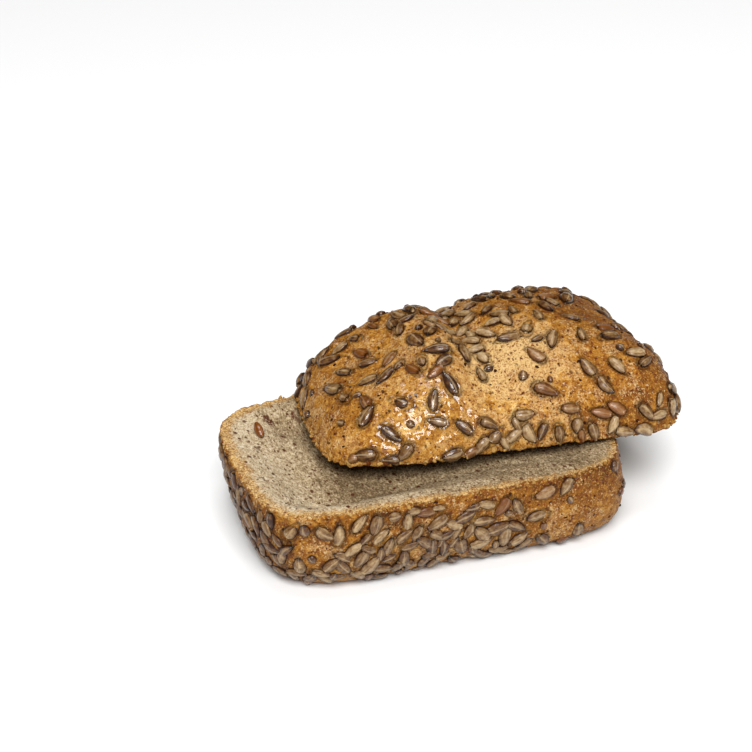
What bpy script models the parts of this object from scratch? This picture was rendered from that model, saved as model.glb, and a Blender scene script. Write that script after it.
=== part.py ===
"""A small wholegrain loaf with sunflower seeds on its crust. It was baked whole and cut level in two,
and the top half lies askew on the bottom half, with one end sticking out past it.

+X runs along the bottom half, +Y to its back and +Z up. The origin is the middle of its flat base.
"""

import math

import bmesh
import bpy
import numpy as np
from mathutils import Matrix

# Driving sizes, in metres
CUT_LENGTH = 0.150  # the bottom half's cut face
CUT_WIDTH = 0.096
BOTTOM_HEIGHT = 0.037
TOP_LENGTH = 0.147
TOP_WIDTH = 0.091
TOP_HEIGHT = 0.0371
TOP_SHIFT_X = 0.0335  # the top half has slid this far along the cut face
TOP_SHIFT_Y = 0.0165
TOP_TURN = math.radians(-1.0)
REST_GAP = 0.0003  # between the two cut faces
SEED_LENGTH = 0.0088  # a usual sunflower kernel

# The bottom half's outline and wall
BOTTOM_SQUARENESS = 5.0  # power of the superellipse: 2 is an ellipse, more is squarer
BOTTOM_TAPER = 0.03  # how much wider the right end is than the middle, as a share
BASE_INSET_SIDE = 0.0145  # the flat base ends this far inside the cut outline, front and back
BASE_INSET_END = 0.0072
BASE_SHIFT = 0.0045  # the ends lean, so the base sits a little to the right
BULGE_SIDE = 0.0004  # the wall swells past the cut outline by this
BULGE_END = 0.0016
WIDEST_LEVEL = 0.62  # share of the height where the wall is widest
DISH_DEPTH = 0.0082  # the soft crumb of the cut face sinks in, most to the left of the middle
DISH_AT_RIGHT = 0.45  # its depth at the right end, as a share
DISH_FROM = 0.005  # how far inside the edge it begins
DISH_FULL = 0.025  # and how far inside it is at its full depth

# The top half's outline and dome
TOP_SQUARENESS = 5.2
TOP_TAPER = 0.14
DOME_POWER_LEFT = 1.75  # 2 is an ellipse, more is flatter on top and steeper at the end
DOME_POWER_RIGHT = 2.35
DOME_POWER_WIDTH = 2.23
CROWN_SHIFT_X = 0.0072  # the crown is off the middle
CROWN_SHIFT_Y = 0.0078
FRONT_LIFT = 0.0026  # the knife came out a little higher along the front, except at the right tip
FRONT_LIFT_DEPTH = 0.024  # how far in from the front the cut face is bent up
SADDLE_X = -0.0085  # a shallow saddle crosses the crown here
SADDLE_DEPTH = 0.155  # as a share of the height
SADDLE_REACH_LEFT = 0.0062
SADDLE_REACH_RIGHT = 0.014
HUMP_X = -0.027  # and a low hump lies left of it
HUMP_HEIGHT = 0.08
HUMP_REACH = 0.0082
TWIST = 0.20  # the right end is higher at its front and lower at its back by this share
TWIST_FROM = 0.025
DOME_WALL = math.radians(42)  # the cube's sides make the dome up to this angle above the rim

BODY_CUTS = 11  # cuts of each cube edge
BOTTOM_SEEDS = 150  # seeds on the bottom half's crust
TOP_SEEDS = 150
LARGEST = {"bottom_half": 116, "top_half": 112}  # how many of them are fused on, largest first

# One seed is stuck in the crumb of the cut face, near the back left corner, with its tip up
CRUMB_SEED_LENGTH = 0.0114
CRUMB_SEED_SPOT = (-0.0589, 0.0238, BOTTOM_HEIGHT + 0.0003)
CRUMB_SEED_HEADING = math.radians(92)
CRUMB_SEED_TILT = math.radians(18)


def superellipse(x, y, power):
    """The point of the unit superellipse in the direction of (x, y)."""
    norm = (np.abs(x) ** power + np.abs(y) ** power) ** (1 / power)
    norm = np.maximum(norm, 1e-9)
    return x / norm, y / norm


def waves(x, y, z):
    """The slow unevenness of hand-shaped dough, between about -1 and 1."""
    one = np.sin(72 * x + 40 * z + 0.6) * np.cos(95 * y - 30 * z + 1.1)
    two = np.sin(120 * x - 85 * y + 60 * z + 2.3)
    return 0.6 * one + 0.4 * two


def bottom_point(x, y, ring, level):
    """The bottom half's surface. (x, y) is a direction, ring is 1 on the wall and 0 in the middle of
    the base and the cut face, and level runs from 0 at the base to 1 at the cut."""
    cx, cy = superellipse(x, y, BOTTOM_SQUARENESS)
    share = np.hypot(cx, cy) ** 2 + 1e-9
    inset = (BASE_INSET_END * cx**2 + BASE_INSET_SIDE * cy**2) / share
    bulge = (BULGE_END * cx**2 + BULGE_SIDE * cy**2) / share
    low = np.clip(level / WIDEST_LEVEL, 0, 1) * math.pi / 2
    high = np.clip((level - WIDEST_LEVEL) / (1 - WIDEST_LEVEL), 0, 1)
    height = BOTTOM_HEIGHT * (WIDEST_LEVEL * (1 - np.cos(low)) + (1 - WIDEST_LEVEL) * high)
    out = bulge * (1 - high**2) - (inset + bulge) * (1 - np.sin(low))
    px = (CUT_LENGTH / 2 + out) * cx * ring
    py = (CUT_WIDTH / 2 + out) * cy * ring
    lean = BASE_SHIFT * (1 - height / BOTTOM_HEIGHT)
    py = py * (1 + BOTTOM_TAPER * px / (CUT_LENGTH / 2))
    swell = 1 + 0.012 * waves(px, py, height)
    return np.stack([px * swell + lean, py * swell, height], axis=-1)


def top_point(x, y, ring, angle):
    """The top half's surface, its cut face at z = 0. angle runs from 0 at the rim to a right angle at
    the crown, and ring is 1 all over the dome and falls to 0 in the middle of the cut face."""
    cx, cy = superellipse(x, y, TOP_SQUARENESS)
    rise = np.sin(angle)
    reach = np.maximum(np.cos(angle), 0)
    power = np.where(cx < 0, DOME_POWER_LEFT, DOME_POWER_RIGHT)
    px = TOP_LENGTH / 2 * reach ** (2 / power) * cx * ring
    py = TOP_WIDTH / 2 * reach ** (2 / DOME_POWER_WIDTH) * cy * ring
    py = py * (1 + TOP_TAPER * px / (TOP_LENGTH / 2))
    px = px + CROWN_SHIFT_X * rise
    py = py + CROWN_SHIFT_Y * rise
    off = (px - SADDLE_X) / np.where(px < SADDLE_X, SADDLE_REACH_LEFT, SADDLE_REACH_RIGHT)
    hump = HUMP_HEIGHT * np.exp(-(((px - HUMP_X) / HUMP_REACH) ** 2))
    height = TOP_HEIGHT * rise * (1 + rise * (hump - SADDLE_DEPTH * np.exp(-(off**2))))
    right = np.clip((px - TWIST_FROM) / (TOP_LENGTH / 2 - TWIST_FROM), 0, 1)
    height = height * (1 - TWIST * right * right * (3 - 2 * right) * py / (TOP_WIDTH / 2))
    swell = waves(px, py, height)
    in_front = np.clip((FRONT_LIFT_DEPTH - TOP_WIDTH / 2 - py) / FRONT_LIFT_DEPTH, 0, 1) ** 1.5
    to_tip = np.clip((TOP_LENGTH / 2 - px) / (0.22 * TOP_LENGTH), 0, 1)
    lift = FRONT_LIFT * in_front * to_tip * (1 - rise)
    height = height * (1 + 0.02 * swell) + lift
    return np.stack([px * (1 + 0.01 * swell), py * (1 + 0.012 * swell), height], axis=-1)


def smooth_step(value, low, high):
    """0 at low, 1 at high and a smooth rise between them."""
    t = np.clip((value - low) / (high - low), 0, 1)
    return t * t * (3 - 2 * t)


def dish_depth(x, y, ring, point):
    """How far the bottom half's cut face has sunk in. It is level near its edge and round the seed
    that is stuck in it."""
    cx, cy = superellipse(x, y, BOTTOM_SQUARENESS)
    power = BOTTOM_SQUARENESS - 1
    slope = np.hypot(np.abs(cx) ** power * 2 / CUT_LENGTH, np.abs(cy) ** power * 2 / CUT_WIDTH)
    from_edge = (1 - ring) / np.maximum(slope, 1e-6)
    px, py = point[:, 0], point[:, 1]
    along = DISH_AT_RIGHT + (1 - DISH_AT_RIGHT) * smooth_step(px, 0.045, -0.020)
    corner = 1 - 0.75 * np.exp(-(((px + 0.059) / 0.014) ** 2) - ((py - 0.024) / 0.016) ** 2)
    return DISH_DEPTH * along * corner * smooth_step(from_edge, DISH_FROM, DISH_FULL)


def shape_bottom(corners):
    """Moves the points of a unit cube: its base and top become the loaf's base and cut face."""
    x, y, z = corners.T
    ring = np.maximum(np.abs(x), np.abs(y))
    point = bottom_point(x, y, ring, (z + 1) / 2)
    point[:, 2] -= dish_depth(x, y, ring, point) * (z > 1 - 1e-6)
    return point


def shape_top(corners):
    """Moves the points of a unit cube: its base becomes the cut face, and the rest the dome."""
    x, y, z = corners.T
    ring = np.maximum(np.abs(x), np.abs(y))
    on_wall = DOME_WALL * (z + 1) / 2
    on_lid = DOME_WALL + (1 - ring) * (math.pi / 2 - DOME_WALL)
    angle = np.where(z > 1 - 1e-6, on_lid, on_wall)
    return top_point(x, y, np.where(z < -1 + 1e-6, ring, 1.0), angle)


def new_object(name, bm, collection, material=None):
    """Turns a bmesh into a named object in a collection."""
    mesh = bpy.data.meshes.new(name)
    bm.to_mesh(mesh)
    bm.free()
    obj = bpy.data.objects.new(name, mesh)
    collection.objects.link(obj)
    if material:
        mesh.materials.append(material)
    return obj


def dough_body(name, shape, collection, material):
    """One half without its seeds: a subdivided cube, its points drawn towards its edges, where the
    loaf curves most, and pulled to shape. Flat faces that lie in one plane become one."""
    bm = bmesh.new()
    bmesh.ops.create_cube(bm, size=2)
    bmesh.ops.subdivide_edges(bm, edges=bm.edges[:], cuts=BODY_CUTS, use_grid_fill=True)
    corners = np.array([v.co for v in bm.verts])
    corners = corners * (1.2 - 0.2 * corners**2)
    for vert, point in zip(bm.verts, shape(corners)):
        vert.co = point
    bmesh.ops.recalc_face_normals(bm, faces=bm.faces[:])
    bmesh.ops.dissolve_limit(bm, angle_limit=math.radians(0.3), verts=bm.verts[:], edges=bm.edges[:])
    return new_object(name, bm, collection, material)


def bottom_wall(turn, level):
    return bottom_point(np.cos(turn), np.sin(turn), 1.0, level)


def top_dome(turn, level):
    return top_point(np.cos(turn), np.sin(turn), 1.0, level * math.pi / 2)


def bottom_crowding(point):
    """How thickly the seeds lie on the bottom half: most low on the front and on the left end, and
    hardly any at the right."""
    x, y, z = point.T
    front = 2.8 * np.exp(-(((x + 0.0135) / 0.029) ** 4)) * (y < 0)
    corner = 0.6 * (x < -0.036) * (y < 0)
    right = 0.35 * (x > 0.010) * (x < 0.062) * (y < 0)
    left = 2.2 * (x < -0.066) * (np.abs(y) < 0.040)
    back = 1.0 * np.exp(-(((x + 0.008) / 0.050) ** 4)) * (y > 0)
    low = np.clip(1.35 - 0.95 * z / BOTTOM_HEIGHT, 0.30, 1)
    return (0.05 + front + corner + right + left + back) * low


def top_crowding(point):
    """How thickly the seeds lie on the top half: most on the saddle, the crown and the front rim, and
    fewest on the slope between them."""
    x, y, z = point.T
    rim = 3.0 * (y < 0) * (x > -0.02) * np.exp(-(((z - 0.006) / 0.005) ** 2))
    saddle = 2.4 * np.exp(-(((x + 0.006) / 0.013) ** 2) - ((y - 0.002) / 0.020) ** 2)
    crown = 0.7 * np.exp(-(((x - 0.026) / 0.026) ** 2) - ((y - 0.016) / 0.018) ** 2)
    slope = 1 - 0.85 * np.exp(-(((x - 0.012) / 0.032) ** 4) - ((y + 0.028) / 0.013) ** 2) * (z > 0.012)
    return (0.55 + saddle + crown) * slope + rim


def seed_spots(surface, crowding, ceiling, floor, count, draw):
    """Places for seeds on a crust: points drawn evenly over its area, thinned by the crowding and
    kept apart, with each seed clear of the cut and of the base. Returns matrices and sizes."""
    tries = 9000
    rng = np.random.default_rng(draw)
    turn = rng.uniform(0, 2 * math.pi, tries)
    level = rng.uniform(0.0, 0.985, tries)
    chance = rng.uniform(0, 1, tries)
    length = np.clip(rng.normal(SEED_LENGTH, 0.1 * SEED_LENGTH, tries), 0.7 * SEED_LENGTH, 1.25 * SEED_LENGTH)
    spin = rng.uniform(0, math.pi * 2, tries)
    tip = rng.normal(0, 0.10, tries)
    step = 1e-4
    point = surface(turn, level)
    along = (surface(turn + step, level) - point) / step
    up = (surface(turn, level + step) - point) / step
    normal = np.cross(along, up)
    area = np.linalg.norm(normal, axis=1)
    normal /= np.maximum(area, 1e-12)[:, None]
    weight = area * crowding(point)
    wanted = chance < weight / np.quantile(weight, 0.995)
    side = along / np.linalg.norm(along, axis=1)[:, None]
    lift = np.cross(normal, side)
    axis = side * np.cos(spin)[:, None] + lift * np.sin(spin)[:, None]
    axis = axis + normal * tip[:, None]
    axis /= np.linalg.norm(axis, axis=1)[:, None]
    across = np.cross(normal, axis)
    across /= np.linalg.norm(across, axis=1)[:, None]
    face = np.cross(axis, across)
    reach = length * np.sqrt((0.5 * axis[:, 2]) ** 2 + (0.30 * across[:, 2]) ** 2 + (0.25 * face[:, 2]) ** 2)
    inside = (point[:, 2] + reach < ceiling) & (point[:, 2] - reach > floor)
    kept = []
    for i in np.nonzero(wanted & inside)[0]:
        near = np.linalg.norm(point[kept] - point[i], axis=1) if kept else np.array([1.0])
        if near.min() > 0.57 * length[i]:
            kept.append(i)
        if len(kept) == count:
            break
    kept = sorted(kept, key=lambda i: -length[i])
    return [(point[i], axis[i], across[i], face[i], length[i]) for i in kept]


def crumb_seed():
    """The place of the seed in the crumb, in the same form as the places of seed_spots."""
    ahead = np.array([math.cos(CRUMB_SEED_HEADING), math.sin(CRUMB_SEED_HEADING), 0])
    up = np.array([0, 0, 1])
    axis = ahead * math.cos(CRUMB_SEED_TILT) + up * math.sin(CRUMB_SEED_TILT)
    across = np.cross(up, ahead)
    return np.array(CRUMB_SEED_SPOT), axis, across, np.cross(axis, across), CRUMB_SEED_LENGTH


def seed_mesh():
    """A sunflower kernel of length 1 along X: a sphere drawn out to a blunt end and a tip."""
    bm = bmesh.new()
    bmesh.ops.create_icosphere(bm, subdivisions=1, radius=0.5)
    for vert in bm.verts:
        x, y, z = vert.co
        plump = 1 - 0.5 * x
        vert.co = (x, y * plump * 0.54, z * plump * 0.38)
    mesh = bpy.data.meshes.new("seed")
    bm.to_mesh(mesh)
    bm.free()
    return mesh


def keep_largest(mesh):
    """Drops every piece of a mesh that isn't joined to its largest one: a seed that hangs free, or
    the skin of a hollow shut in between seeds, which fills the hollow."""
    bm = bmesh.new()
    bm.from_mesh(mesh)
    left = set(bm.verts)
    pieces = []
    while left:
        piece = {left.pop()}
        edge = list(piece)
        while edge:
            vert = edge.pop()
            for link in vert.link_edges:
                other = link.other_vert(vert)
                if other in left:
                    left.discard(other)
                    piece.add(other)
                    edge.append(other)
        pieces.append(piece)
    pieces.sort(key=len)
    for piece in pieces[:-1]:
        bmesh.ops.delete(bm, geom=list(piece), context="VERTS")
    bm.to_mesh(mesh)
    bm.free()


def fuse_seeds(body, spots, mesh):
    """Joins the seeds to their half with one Boolean union."""
    seeds = bpy.data.collections.new(body.name + "_seeds")
    bpy.context.scene.collection.children.link(seeds)
    for number, (point, axis, across, face, length) in enumerate(spots):
        seed = bpy.data.objects.new(f"{body.name}_seed_{number}", mesh)
        turned = Matrix((axis, across, face)).transposed().to_4x4()
        seed.matrix_world = Matrix.Translation(point + face * 0.055 * length) @ turned @ Matrix.Scale(length, 4)
        seeds.objects.link(seed)
    union = body.modifiers.new("seeds", "BOOLEAN")
    union.operation = "UNION"
    union.operand_type = "COLLECTION"
    union.collection = seeds
    union.solver = "MANIFOLD"
    bpy.context.view_layer.update()
    graph = bpy.context.evaluated_depsgraph_get()
    fused = bpy.data.meshes.new_from_object(body.evaluated_get(graph))
    keep_largest(fused)
    body.modifiers.clear()
    body.data = fused
    for seed in list(seeds.objects):
        bpy.data.objects.remove(seed)
    bpy.data.collections.remove(seeds)


def crust_material():
    """Baked crust, golden brown."""
    material = bpy.data.materials.new("crust")
    material.use_nodes = True
    shader = material.node_tree.nodes["Principled BSDF"]
    shader.inputs["Base Color"].default_value = (0.42, 0.20, 0.06, 1)
    shader.inputs["Roughness"].default_value = 0.55
    shader.inputs["Metallic"].default_value = 0.0
    return material


def main():
    for obj in list(bpy.data.objects):
        bpy.data.objects.remove(obj)
    loaf = bpy.data.collections.new("wholegrain_loaf")
    bpy.context.scene.collection.children.link(loaf)
    crust = crust_material()
    seed = seed_mesh()

    bottom = dough_body("bottom_half", shape_bottom, loaf, crust)
    spots = seed_spots(bottom_wall, bottom_crowding, BOTTOM_HEIGHT - 0.0006, 0.0003, BOTTOM_SEEDS, draw=11)
    fuse_seeds(bottom, spots[: LARGEST["bottom_half"]] + [crumb_seed()], seed)

    top = dough_body("top_half", shape_top, loaf, crust)
    spots = seed_spots(top_dome, top_crowding, 1.0, 0.0008, TOP_SEEDS, draw=23)
    fuse_seeds(top, spots[: LARGEST["top_half"]], seed)
    top.location = (TOP_SHIFT_X, TOP_SHIFT_Y, BOTTOM_HEIGHT + REST_GAP)
    top.rotation_euler = (0, 0, TOP_TURN)


main()
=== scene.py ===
import math

import bpy
import numpy as np
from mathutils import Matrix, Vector


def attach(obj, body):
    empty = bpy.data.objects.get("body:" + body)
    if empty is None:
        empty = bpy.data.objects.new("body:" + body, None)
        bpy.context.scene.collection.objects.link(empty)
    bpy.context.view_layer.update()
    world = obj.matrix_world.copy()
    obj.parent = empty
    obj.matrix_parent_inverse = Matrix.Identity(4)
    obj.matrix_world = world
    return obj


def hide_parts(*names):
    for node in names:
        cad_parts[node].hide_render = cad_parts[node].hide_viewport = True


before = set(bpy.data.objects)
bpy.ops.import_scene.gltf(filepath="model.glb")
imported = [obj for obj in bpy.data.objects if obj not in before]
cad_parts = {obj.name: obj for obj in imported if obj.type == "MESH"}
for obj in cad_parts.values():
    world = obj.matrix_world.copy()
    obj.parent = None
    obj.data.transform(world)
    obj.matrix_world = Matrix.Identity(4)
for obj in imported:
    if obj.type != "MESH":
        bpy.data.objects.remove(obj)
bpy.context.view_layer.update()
print("frame loaded")

# shape of the bottom half, in metres and shares of its size
bottomForm = {
    "length": 0.150,
    "width": 0.096,
    "height": 0.037,
    "squareness": 5.0,
    "taper": 0.03,
    "baseInsetSide": 0.0145,
    "baseInsetEnd": 0.0072,
    "baseShift": 0.0045,
    "bulgeSide": 0.0004,
    "bulgeEnd": 0.0016,
    "widestLevel": 0.62,
    "swell": 0.012,
}

# shape of the top half, and where it lies on the bottom half, in metres and radians
topForm = {
    "length": 0.147,
    "width": 0.091,
    "height": 0.0371,
    "squareness": 5.2,
    "taper": 0.14,
    "powerLeft": 1.75,
    "powerRight": 2.35,
    "powerWidth": 2.23,
    "crownX": 0.0072,
    "crownY": 0.0078,
    "frontLift": 0.0026,
    "frontLiftDepth": 0.024,
    "tipReach": 0.22,
    "saddleX": -0.0085,
    "saddleDepth": 0.155,
    "saddleLeft": 0.0062,
    "saddleRight": 0.014,
    "humpX": -0.027,
    "humpHeight": 0.08,
    "humpReach": 0.0082,
    "twist": 0.20,
    "twistFrom": 0.025,
    "swellLong": 0.01,
    "swellWide": 0.012,
    "swellUp": 0.02,
    "wallAngle": math.radians(42),
    "shiftX": 0.0335,
    "shiftY": 0.0165,
    "shiftZ": 0.0373,
    "turn": math.radians(-1.0),
}


# a unit superellipse: the direction divided by its power norm
def superellipse(x, y, power):
    norm = np.maximum((np.abs(x) ** power + np.abs(y) ** power) ** (1 / power), 1e-9)
    return x / norm, y / norm


# slow unevenness of dough: two products of long waves
def doughWaves(x, y, z):
    one = np.sin(72 * x + 40 * z + 0.6) * np.cos(95 * y - 30 * z + 1.1)
    two = np.sin(120 * x - 85 * y + 60 * z + 2.3)
    return 0.6 * one + 0.4 * two


# bottom half: a quarter circle from the base out to the widest level, then nearly straight to the cut
def bottomPoint(x, y, ring, level):
    f = bottomForm
    cx, cy = superellipse(x, y, f["squareness"])
    share = np.hypot(cx, cy) ** 2 + 1e-9
    inset = (f["baseInsetEnd"] * cx**2 + f["baseInsetSide"] * cy**2) / share
    bulge = (f["bulgeEnd"] * cx**2 + f["bulgeSide"] * cy**2) / share
    wide = f["widestLevel"]
    low = np.clip(level / wide, 0, 1) * math.pi / 2
    high = np.clip((level - wide) / (1 - wide), 0, 1)
    height = f["height"] * (wide * (1 - np.cos(low)) + (1 - wide) * high)
    out = bulge * (1 - high**2) - (inset + bulge) * (1 - np.sin(low))
    px = (f["length"] / 2 + out) * cx * ring
    py = (f["width"] / 2 + out) * cy * ring
    lean = f["baseShift"] * (1 - height / f["height"])
    py = py * (1 + f["taper"] * px / (f["length"] / 2))
    swell = 1 + f["swell"] * doughWaves(px, py, height)
    return np.stack([px * swell + lean, py * swell, height], axis=-1)


# top half: a superellipse that shrinks with the cosine of the angle while the height follows its sine,
# with a hump and a saddle along its length, a right end that leans to the front and a lifted front rim
def topPoint(x, y, ring, angle):
    f = topForm
    cx, cy = superellipse(x, y, f["squareness"])
    rise = np.sin(angle)
    reach = np.maximum(np.cos(angle), 0)
    power = np.where(cx < 0, f["powerLeft"], f["powerRight"])
    px = f["length"] / 2 * reach ** (2 / power) * cx * ring
    py = f["width"] / 2 * reach ** (2 / f["powerWidth"]) * cy * ring
    py = py * (1 + f["taper"] * px / (f["length"] / 2))
    px = px + f["crownX"] * rise
    py = py + f["crownY"] * rise
    off = (px - f["saddleX"]) / np.where(px < f["saddleX"], f["saddleLeft"], f["saddleRight"])
    hump = f["humpHeight"] * np.exp(-(((px - f["humpX"]) / f["humpReach"]) ** 2))
    height = f["height"] * rise * (1 + rise * (hump - f["saddleDepth"] * np.exp(-(off**2))))
    right = np.clip((px - f["twistFrom"]) / (f["length"] / 2 - f["twistFrom"]), 0, 1)
    height = height * (1 - f["twist"] * right * right * (3 - 2 * right) * py / (f["width"] / 2))
    swell = doughWaves(px, py, height)
    inFront = np.clip((f["frontLiftDepth"] - f["width"] / 2 - py) / f["frontLiftDepth"], 0, 1) ** 1.5
    toTip = np.clip((f["length"] / 2 - px) / (f["tipReach"] * f["length"]), 0, 1)
    height = height * (1 + f["swellUp"] * swell) + f["frontLift"] * inFront * toTip * (1 - rise)
    px = px * (1 + f["swellLong"] * swell)
    py = py * (1 + f["swellWide"] * swell)
    return np.stack([px, py, height], axis=-1)


# the crust of each half, by its turn round the middle and its share of the way up
def bottomWall(turn, level):
    return bottomPoint(np.cos(turn), np.sin(turn), 1.0, level)


def topDome(turn, level):
    return topPoint(np.cos(turn), np.sin(turn), 1.0, level * math.pi / 2)


# the top half's own frame to the loaf's: a small turn, then a slide
def placeTop(points):
    cosine, sine = math.cos(topForm["turn"]), math.sin(topForm["turn"])
    x, y, z = points[..., 0], points[..., 1], points[..., 2]
    moved = np.stack([cosine * x - sine * y, sine * x + cosine * y, z], axis=-1)
    return moved + np.array([topForm["shiftX"], topForm["shiftY"], topForm["shiftZ"]])


# value noise between -1 and 1: a seeded block of numbers, blended smoothly between its eight corners
def softNoise(points, cell, draw):
    block = np.random.default_rng(draw).uniform(-1, 1, (32, 32, 32))
    spot = points / cell + 7.31
    low = np.floor(spot).astype(int)
    part = spot - low
    part = part * part * (3 - 2 * part)
    total = 0
    for corner in np.ndindex(2, 2, 2):
        index = (low + corner) % 32
        weight = np.prod(np.where(corner, part, 1 - part), axis=-1)
        total = total + weight * block[index[..., 0], index[..., 1], index[..., 2]]
    return total


# layers of value noise, each half the size and a set share of the strength of the one before
def layered(points, cell, layers, draw, keep=0.55):
    total, strength = 0, 1.0
    for layer in range(layers):
        total = total + strength * softNoise(points, cell / 2**layer, draw + layer)
        strength *= keep
    return total


# smooth step from 0 at low to 1 at high
def ramp(value, low, high):
    t = np.clip((value - low) / (high - low), 0, 1)
    return t * t * (3 - 2 * t)


# a hill that is 1 at its middle and falls as the exponential of minus the distance, in reaches, to a power
def hill(value, middle, reach, power=2):
    return np.exp(-(((value - middle) / reach) ** power))


# a round hill over two directions
def mound(x, y, middle, reach):
    return np.exp(-(((x - middle[0]) / reach[0]) ** 2) - ((y - middle[1]) / reach[1]) ** 2)


# a mesh object that rides on the loaf, with one number for each of its points under each label
def meshPiece(name, points, faces, material, numbers, smooth=True):
    mesh = bpy.data.meshes.new(name)
    mesh.from_pydata(points.reshape(-1, 3).tolist(), [], faces)
    for label, values in numbers.items():
        store = mesh.attributes.new(label, "FLOAT", "POINT")
        store.data.foreach_set("value", values.astype(np.float32).ravel())
    mesh.polygons.foreach_set("use_smooth", np.full(len(mesh.polygons), smooth))
    mesh.materials.append(material)
    mesh.update()
    piece = bpy.data.objects.new(name, mesh)
    bpy.context.scene.collection.objects.link(piece)
    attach(piece, "root")
    return piece


# the quads of a grid of point numbers
def gridFaces(index):
    a, b = index[:-1, :-1], index[:-1, 1:]
    c, d = index[1:, 1:], index[1:, :-1]
    return np.stack([a, b, c, d], axis=-1).reshape(-1, 4)


# A closed can: a lid grid of across by deep squares, a wall of rows below its edge, and a floor that is
# either a second grid or rings that shrink to one middle point. Directions run from -1 to 1.
def canGrid(across, deep, rows, floorRings):
    p, q = np.meshgrid(np.linspace(-1, 1, across + 1), np.linspace(-1, 1, deep + 1))
    crowd = 0.12  # how much closer the lines lie towards the edge
    p = p * (1 + crowd - crowd * p**2)
    q = q * (1 + crowd - crowd * q**2)
    directions = np.stack([p, q], -1)
    lid = np.arange(p.size).reshape(p.shape)
    edge = np.concatenate([lid[0, :-1], lid[:-1, -1], lid[-1, :0:-1], lid[:0:-1, 0]])
    parts = {"lid": directions.reshape(-1, 2), "edge": directions.reshape(-1, 2)[edge]}
    count = p.size
    wall = np.vstack([edge[None, :], count + np.arange(rows * len(edge)).reshape(rows, -1)])
    count += rows * len(edge)
    loop = np.hstack([wall, wall[:, :1]])
    faces = [gridFaces(lid), gridFaces(loop[::-1])]
    fan = []
    if floorRings:
        rings = np.vstack([wall[-1:], count + np.arange(floorRings * len(edge)).reshape(floorRings, -1)])
        count += floorRings * len(edge)
        loop = np.hstack([rings, rings[:, :1]])
        faces.append(gridFaces(loop[::-1]))
        fan = np.stack([loop[-1, 1:], loop[-1, :-1], np.full(len(edge), count)], -1).tolist()
    else:
        under = np.full(p.shape, -1)
        under.ravel()[edge] = wall[-1]
        inner = under < 0
        under[inner] = count + np.arange(inner.sum())
        faces.append(gridFaces(under)[:, ::-1])
        parts["under"] = directions[inner]
    return parts, np.concatenate(faces).tolist() + fan


# distance to the outline of a superellipse, in metres, from a point at ring of the way out
def toOutline(x, y, ring, length, width, power):
    cx, cy = superellipse(x, y, power)
    slope = np.hypot(np.abs(cx) ** (power - 1) * 2 / length, np.abs(cy) ** (power - 1) * 2 / width)
    return (1 - ring) / np.maximum(slope, 1e-6)


# the normals that Blender finds for a mesh of these points and faces
def vertexNormals(points, faces):
    mesh = bpy.data.meshes.new("measure")
    mesh.from_pydata(points.tolist(), [], faces)
    mesh.update()
    found = np.zeros(len(points) * 3)
    mesh.vertex_normals.foreach_get("vector", found)
    bpy.data.meshes.remove(mesh)
    return found.reshape(-1, 3)


def newMaterial(name):
    material = bpy.data.materials.new(name)
    material.use_nodes = True
    tree = material.node_tree
    shader = tree.nodes["Principled BSDF"]
    return material, tree, shader


# a node's inputs, each either linked or given a value
def fill(tree, node, values):
    for key, value in values.items():
        if isinstance(value, bpy.types.NodeSocket):
            tree.links.new(value, node.inputs[key])
        else:
            node.inputs[key].default_value = value


# a new node with its settings and its inputs
def put(tree, kind, values=None, **settings):
    made = tree.nodes.new(kind)
    for key, value in settings.items():
        setattr(made, key, value)
    fill(tree, made, values or {})
    return made


# one step of arithmetic on values
def number(tree, operation, a, b=0.0, clamp=False):
    made = put(tree, "ShaderNodeMath", {0: a, 1: b}, operation=operation, use_clamp=clamp)
    return made.outputs[0]


# a colour that follows a share from one to the other
def blendColour(tree, share, a, b):
    return put(tree, "ShaderNodeMix", {0: share, 6: a, 7: b}, data_type="RGBA").outputs[2]


# a look's colours that follow a value, each with its place
def stops(tree, value, look, **places):
    made = put(tree, "ShaderNodeValToRGB", {0: value})
    elements = made.color_ramp.elements
    while len(elements) < len(places):
        elements.new(0.5)
    for element, (shade, at) in zip(elements, places.items()):
        element.position = at
        element.color = look[shade]
    return made.outputs[0]


# a smooth step from 0 at low to 1 at high
def step(tree, value, low, high):
    values = {0: value, 1: low, 2: high, 3: 0.0, 4: 1.0}
    return put(tree, "ShaderNodeMapRange", values, interpolation_type="SMOOTHSTEP").outputs[0]


# a value from 0 to 1 stretched between two others
def between(tree, value, low, high):
    return put(tree, "ShaderNodeMapRange", {0: value, 3: low, 4: high}).outputs[0]


# a number that the mesh gives at each of its points
def numberOf(tree, label):
    return put(tree, "ShaderNodeAttribute", attribute_name=label).outputs["Fac"]


# a hex colour as seen on screen to the linear one that shaders use
def tint(code):
    parts = [int(code[i : i + 2], 16) / 255 for i in (0, 2, 4)]
    return tuple(v / 12.92 if v < 0.04045 else ((v + 0.055) / 1.055) ** 2.4 for v in parts) + (1.0,)


# object coordinates in millimetres, stretched and moved
def millimetres(tree, stretch=(1, 1, 1), offset=(0, 0, 0)):
    where = put(tree, "ShaderNodeTexCoord").outputs["Object"]
    scale = tuple(1000 * v for v in stretch)
    return put(tree, "ShaderNodeMapping", {"Vector": where, "Scale": scale, "Location": offset}).outputs[0]


# smooth noise from 0 to 1, with its scale in repeats for each unit of the coordinates
def noise(tree, where, scale, detail=2.0, roughness=0.5, distortion=0.0):
    values = {"Vector": where, "Scale": scale, "Detail": detail, "Roughness": roughness}
    return put(tree, "ShaderNodeTexNoise", dict(values, Distortion=distortion)).outputs["Fac"]


# how far a noise is from its middle, times a weight
def sway(tree, value, weight):
    made = put(tree, "ShaderNodeMath", {0: value, 1: weight, 2: -0.5 * weight}, operation="MULTIPLY_ADD")
    return made.outputs[0]


# the sum, the product and the higher of some values
def total(tree, *values):
    out = values[0]
    for value in values[1:]:
        out = number(tree, "ADD", out, value)
    return out


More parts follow.
